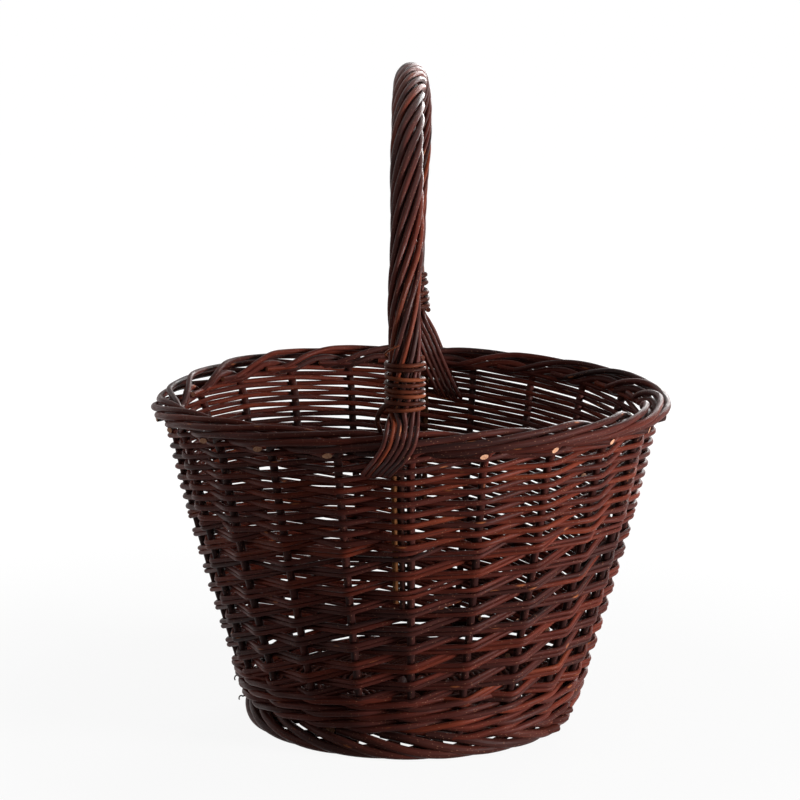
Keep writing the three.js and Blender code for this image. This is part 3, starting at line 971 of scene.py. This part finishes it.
def binding(leg, chance, start, clear, narrowing, diameter, bark, rises):
    """A split rod wound round a neck, its turns leaning and bunched as the hand left them."""
    steps = 20
    lowest = NECK_HEIGHT + start
    points = []
    z = lowest - 0.5
    for rise in rises:
        lean = chance.uniform(-2.8, -0.2)
        sink = chance.uniform(-0.5, 0.5)
        for i in range(steps):
            angle = 2 * math.pi * i / steps
            orbit = ROPE_ORBIT + clear + sink * math.sin(2 * angle) - (z - lowest) * narrowing
            y = leg * (ARCH_RADIUS + orbit * math.sin(angle))
            x = neck_askew(leg) + orbit * math.cos(angle)
            point = Vector((x, y, z + rise * i / steps + lean * (1 - math.cos(angle)) / 2))
            points.append(point - rim_lift(point))
        z += rise

    def tone(share):
        return bark + 0.22 * math.sin(share * 31) + 0.14 * math.sin(share * 77 + 1)

    return willow_rod(points, steady(diameter), tone)


def binding_end(spots, diameter, tone):
    """A loose end of the front binding. Its spots are right of the neck, outwards and above its foot."""
    points = []
    for right, out, up in spots:
        point = Vector((neck_askew(FRONT) + right, -ARCH_RADIUS - out, NECK_HEIGHT + up))
        points.append(point - rim_lift(point))
    return willow_rod(flowing(points, 2.5), tapered(diameter, diameter * 0.75), steady(tone))


loose_ends = [
    binding_end([(-12.5, 4, 39), (-13.2, 9, 42.5), (-9, 13.2, 46), (-3.5, 14, 49)], 1.7, 0.8),
    binding_end([(-7, 8, 8), (-12.5, 6, 5.5), (-17.5, 2, 0), (-19.5, -3, -8), (-17, -8, -17)], 4.4, 0.05),
]
front_skein = [binding(FRONT, random.Random(91), **FRONT_BINDING)] + loose_ends
back_skein = [binding(BACK, random.Random(91), **BACK_BINDING)]
for rods, label in ((front_skein, "handle_binding_front"), (back_skein, "handle_binding_back")):
    bundle(f"{label}_skein", rods, SKEIN, SKEIN, [label], sides=8, lump=0.06, lumps=90.0, seed=91)


# Floor, lights and camera

def seen_or_mirrored(tree):
    """1 where the camera sees the surface, also in gloss or through glass, and 0 where it lights others."""
    rays = tree.nodes.new("ShaderNodeLightPath")
    share = rays.outputs["Is Camera Ray"]
    for label in ("Is Glossy Ray", "Is Transmission Ray"):
        share = reckon(tree, "MAXIMUM", share, rays.outputs[label])
    return share


def floor():
    mesh = bpy.data.meshes.new("floor")
    half = 40.0
    corners = [(-half, -half, 0), (half, -half, 0), (half, half, 0), (-half, half, 0)]
    mesh.from_pydata(corners, [], [(0, 1, 2, 3)])
    piece = bpy.data.objects.new("floor", mesh)
    bpy.context.scene.collection.objects.link(piece)
    material = new_material("pale_floor")
    tree = material.node_tree
    tree.nodes.clear()
    add, link = tree.nodes.new, tree.links.new
    out = add("ShaderNodeOutputMaterial")
    matt = add("ShaderNodeBsdfDiffuse")
    matt.inputs["Color"].default_value = (0.08, 0.08, 0.08, 1)
    glow = add("ShaderNodeEmission")
    glow.inputs["Color"].default_value = (1, 1, 1, 1)
    place = add("ShaderNodeTexCoord")
    away = add("ShaderNodeVectorMath")
    away.operation = "LENGTH"
    link(place.outputs["Object"], away.inputs[0])
    link(spread(tree, away.outputs["Value"], 0.3, 0.9, 0.92, 1.0), glow.inputs["Strength"])
    both = add("ShaderNodeAddShader")
    link(matt.outputs[0], both.inputs[0])
    link(glow.outputs[0], both.inputs[1])
    choose = add("ShaderNodeMixShader")
    link(seen_or_mirrored(tree), choose.inputs["Fac"])
    link(matt.outputs[0], choose.inputs[1])
    link(both.outputs[0], choose.inputs[2])
    link(choose.outputs[0], out.inputs["Surface"])
    mesh.materials.append(material)


def studio_light():
    world = bpy.data.worlds.new("studio")
    bpy.context.scene.world = world
    world.use_nodes = True
    tree = world.node_tree
    sky = tree.nodes["Background"]
    sky.inputs["Color"].default_value = (1, 1, 1, 1)
    strength = spread(tree, seen_or_mirrored(tree), 0.0, 1.0, 0.025, 1.0)
    tree.links.new(strength, sky.inputs["Strength"])

    def lamp(name, place, aim, size, watts):
        light = bpy.data.lights.new(name, "AREA")
        light.size = size
        light.energy = watts
        piece = bpy.data.objects.new(name, light)
        piece.location = place
        piece.rotation_euler = (Vector(aim) - Vector(place)).to_track_quat("-Z", "Y").to_euler()
        bpy.context.scene.collection.objects.link(piece)

    lamp("key", (2.5, -0.9, 0.42), (0, 0, 0.25), 0.8, 104)
    lamp("front", (0.6, -2.3, 1.0), (0, 0, 0.2), 1.2, 2.2)
    lamp("fill", (-2.2, -0.5, 0.8), (0, 0, 0.2), 0.7, 5.5)
    lamp("over", (0.5, -0.3, 2.3), (0, 0, 0.2), 1.0, 4.5)
    lamp("back", (0.7, 2.4, 0.8), (0, 0, 0.2), 1.0, 36)


def photo_camera():
    """Stands where the photograph was taken, a little to the right of the front leg."""
    distance = 1.971
    height = 0.590
    around = math.radians(3)
    down = math.radians(9.853)
    turned = math.radians(3.254)
    data = bpy.data.cameras.new("photo")
    data.lens = 116.64
    data.sensor_width = 36
    data.clip_end = 200
    camera = bpy.data.objects.new("photo", data)
    camera.location = (distance * math.sin(around), -distance * math.cos(around), height)
    camera.rotation_euler = (math.pi / 2 - down, 0, turned)
    bpy.context.scene.collection.objects.link(camera)
    bpy.context.scene.camera = camera


photo_camera()
floor()
studio_light()
bpy.context.scene.view_settings.view_transform = "Standard"
